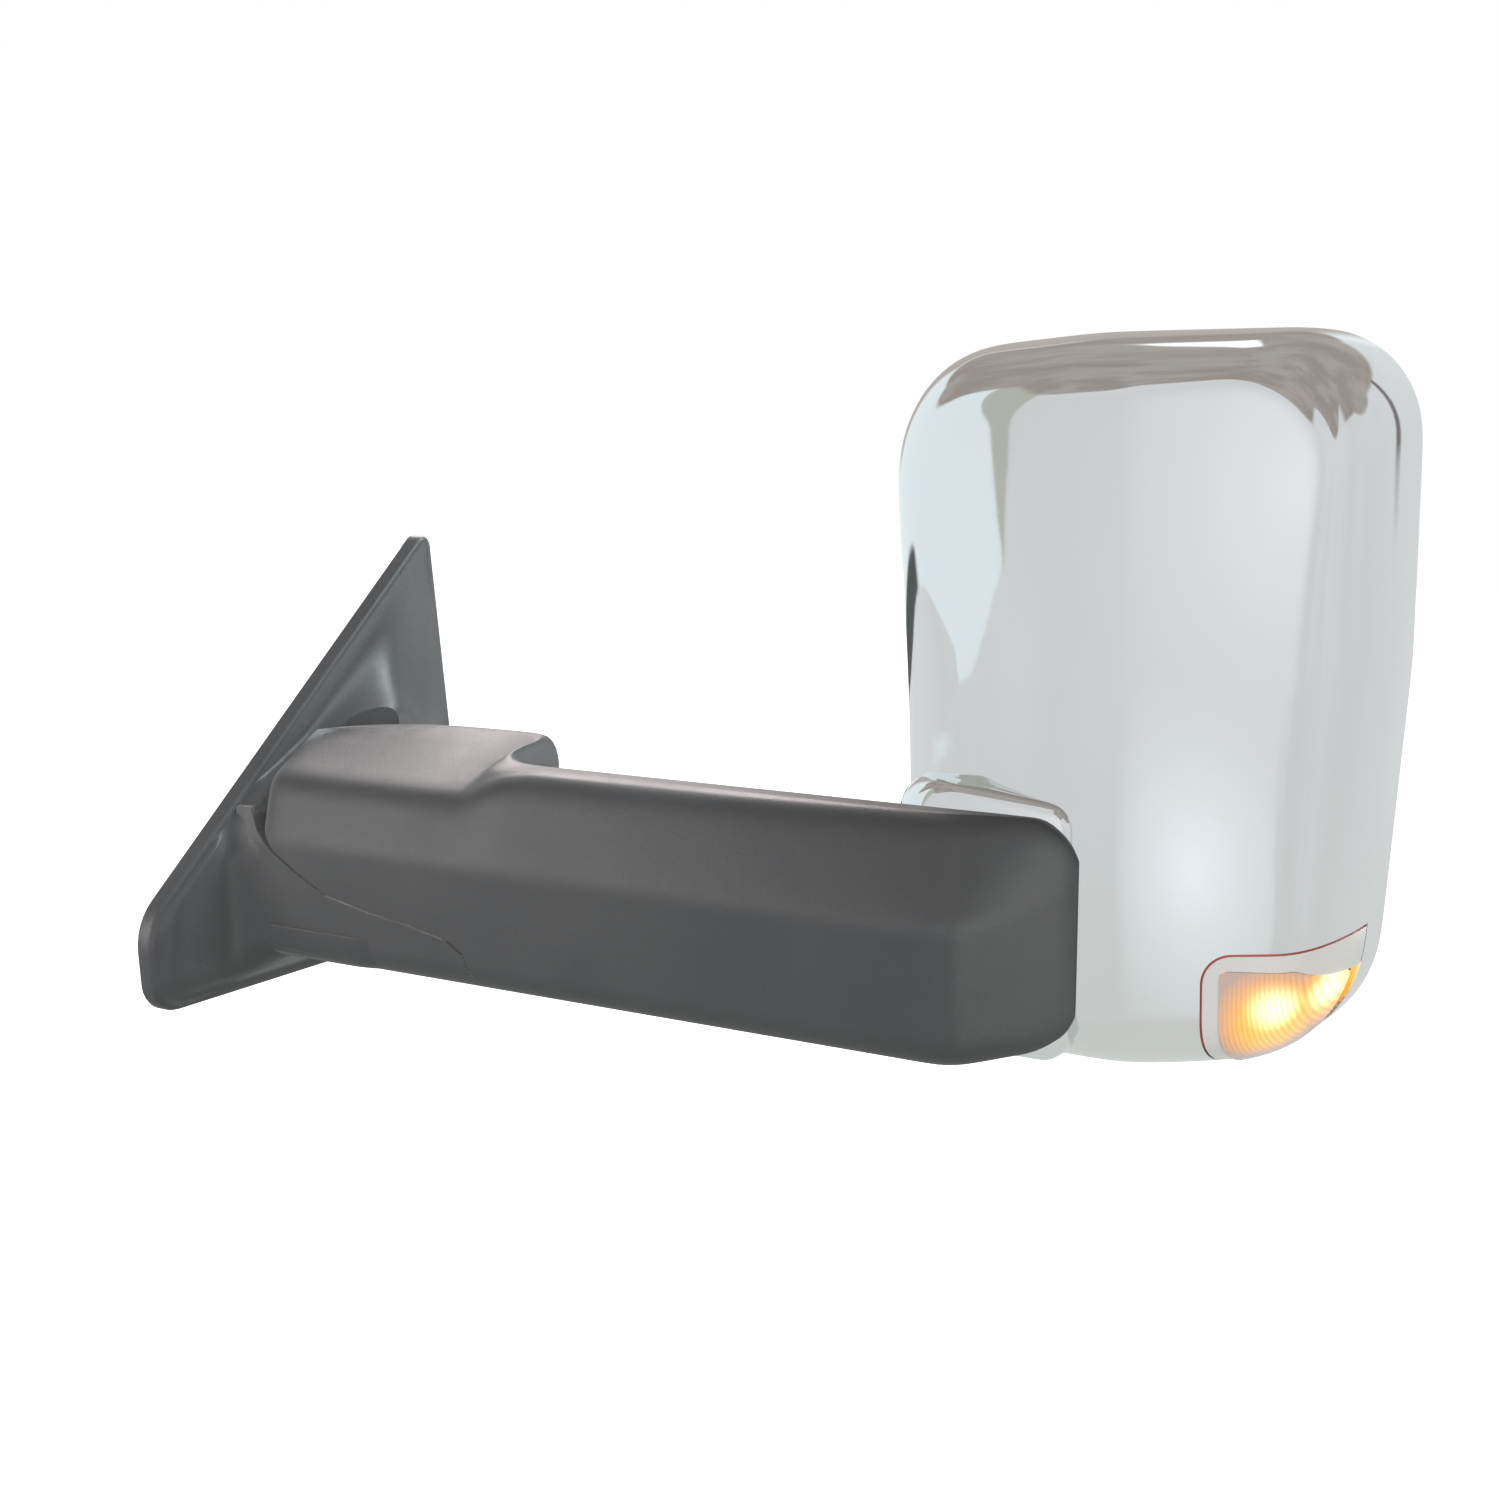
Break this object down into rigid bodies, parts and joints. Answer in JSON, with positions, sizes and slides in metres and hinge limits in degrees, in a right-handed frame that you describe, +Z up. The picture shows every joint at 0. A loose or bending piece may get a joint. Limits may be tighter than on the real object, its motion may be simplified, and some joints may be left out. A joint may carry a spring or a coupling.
{
  "type": "car side mirror",
  "caption": "Flip-up towing side mirror: triangular door mount, folding arm, chromed head with turn signal, power glass and a wide-angle spotter below it.",
  "frame": {"origin": "centre of the door mounting face, on the bracket's back face", "axes": "+X outboard away from the door, +Y rearward the way the glass faces, +Z up; the vehicle's left-hand door is at -X"},
  "size_m": [0.5005, 0.2172, 0.2893],
  "materials": {
    "textured_black": "fine moulded grain",
    "smooth_black": "satin moulding",
    "chrome_plate": "bright chrome plating over moulded plastic",
    "cast_aluminium": "as cast",
    "zinc_steel": "zinc plated",
    "spring_steel": "oiled dark",
    "acetal": "natural",
    "foam_rubber": "closed-cell foam",
    "amber_lens": "clear moulding over an amber filter",
    "reflector": "bright coated",
    "bulb_glass": "amber glass",
    "grey_plastic": "glass-filled moulding",
    "mirror_glass": "silvered",
    "heater_film": "printed film",
    "motor_can": "plated can"
  },
  "bodies": {
    "base": {"sail_cover": "textured_black", "mount_bracket": "cast_aluminium", "door_gasket": "foam_rubber", "wiring_grommet": "foam_rubber", "stud_upper": "zinc_steel", "stud_front": "zinc_steel", "stud_rear": "zinc_steel", "fold_post": "zinc_steel", "fold_retainer": "zinc_steel", "fold_slip_washer": "acetal", "fold_spring": "spring_steel"},
    "arm": {"arm_cover": "textured_black", "arm_rear_panel": "textured_black", "arm_frame": "cast_aluminium", "panel_screw_1": "zinc_steel", "panel_screw_2": "zinc_steel", "panel_screw_3": "zinc_steel", "panel_screw_4": "zinc_steel", "flip_shaft": "zinc_steel", "flip_retainer": "zinc_steel", "flip_slip_washer": "acetal", "flip_spring": "spring_steel"},
    "head": {"chrome_cover": "chrome_plate", "turn_signal_lens": "amber_lens", "lamp_housing": "reflector", "signal_bulb_inner": "bulb_glass", "signal_bulb_outer": "bulb_glass", "bezel": "smooth_black", "head_frame": "grey_plastic", "actuator_base": "smooth_black", "actuator_cover": "smooth_black", "ball_stud": "zinc_steel", "actuator_screw_1": "zinc_steel", "actuator_screw_2": "zinc_steel", "actuator_screw_3": "zinc_steel", "tilt_motor": "motor_can", "pan_motor": "motor_can", "spotter_carrier": "grey_plastic", "spotter_glass": "mirror_glass"},
    "gimbal": {"pivot_gimbal": "acetal"},
    "glass": {"glass_carrier": "grey_plastic", "heater_pad": "heater_film", "main_glass": "mirror_glass"},
    "tilt_rod": {"tilt_plunger": "acetal"},
    "pan_rod": {"pan_plunger": "acetal"}
  },
  "joints": [
    {"name": "fold", "type": "hinge", "parent": "base", "child": "arm", "pos_m": [0.07, -0.002, 0], "axis": [0, 0, 1], "range_deg": [0, 56]},
    {"name": "flip", "type": "hinge", "parent": "arm", "child": "head", "pos_m": [0.352, 0, 0.014], "axis": [0, -1, 0], "range_deg": [0, 90]},
    {"name": "glass_tilt", "type": "hinge", "parent": "head", "child": "gimbal", "pos_m": [0.388, 0.068, 0.14], "axis": [1, 0, 0], "range_deg": [-8, 8]},
    {"name": "glass_pan", "type": "hinge", "parent": "gimbal", "child": "glass", "pos_m": [0.388, 0.068, 0.14], "axis": [0, 0, 1], "range_deg": [-8, 8]},
    {"name": "tilt_push", "type": "slide", "parent": "head", "child": "tilt_rod", "axis": [0, 1, 0], "range_m": [-0.005, 0.005]},
    {"name": "pan_push", "type": "slide", "parent": "head", "child": "pan_rod", "axis": [0, 1, 0], "range_m": [-0.005, 0.005]}
  ],
  "couplings": [
    {"joint": "tilt_push", "follows": "glass_tilt", "m_per_rad": 0.034},
    {"joint": "pan_push", "follows": "glass_pan", "m_per_rad": 0.034}
  ]
}
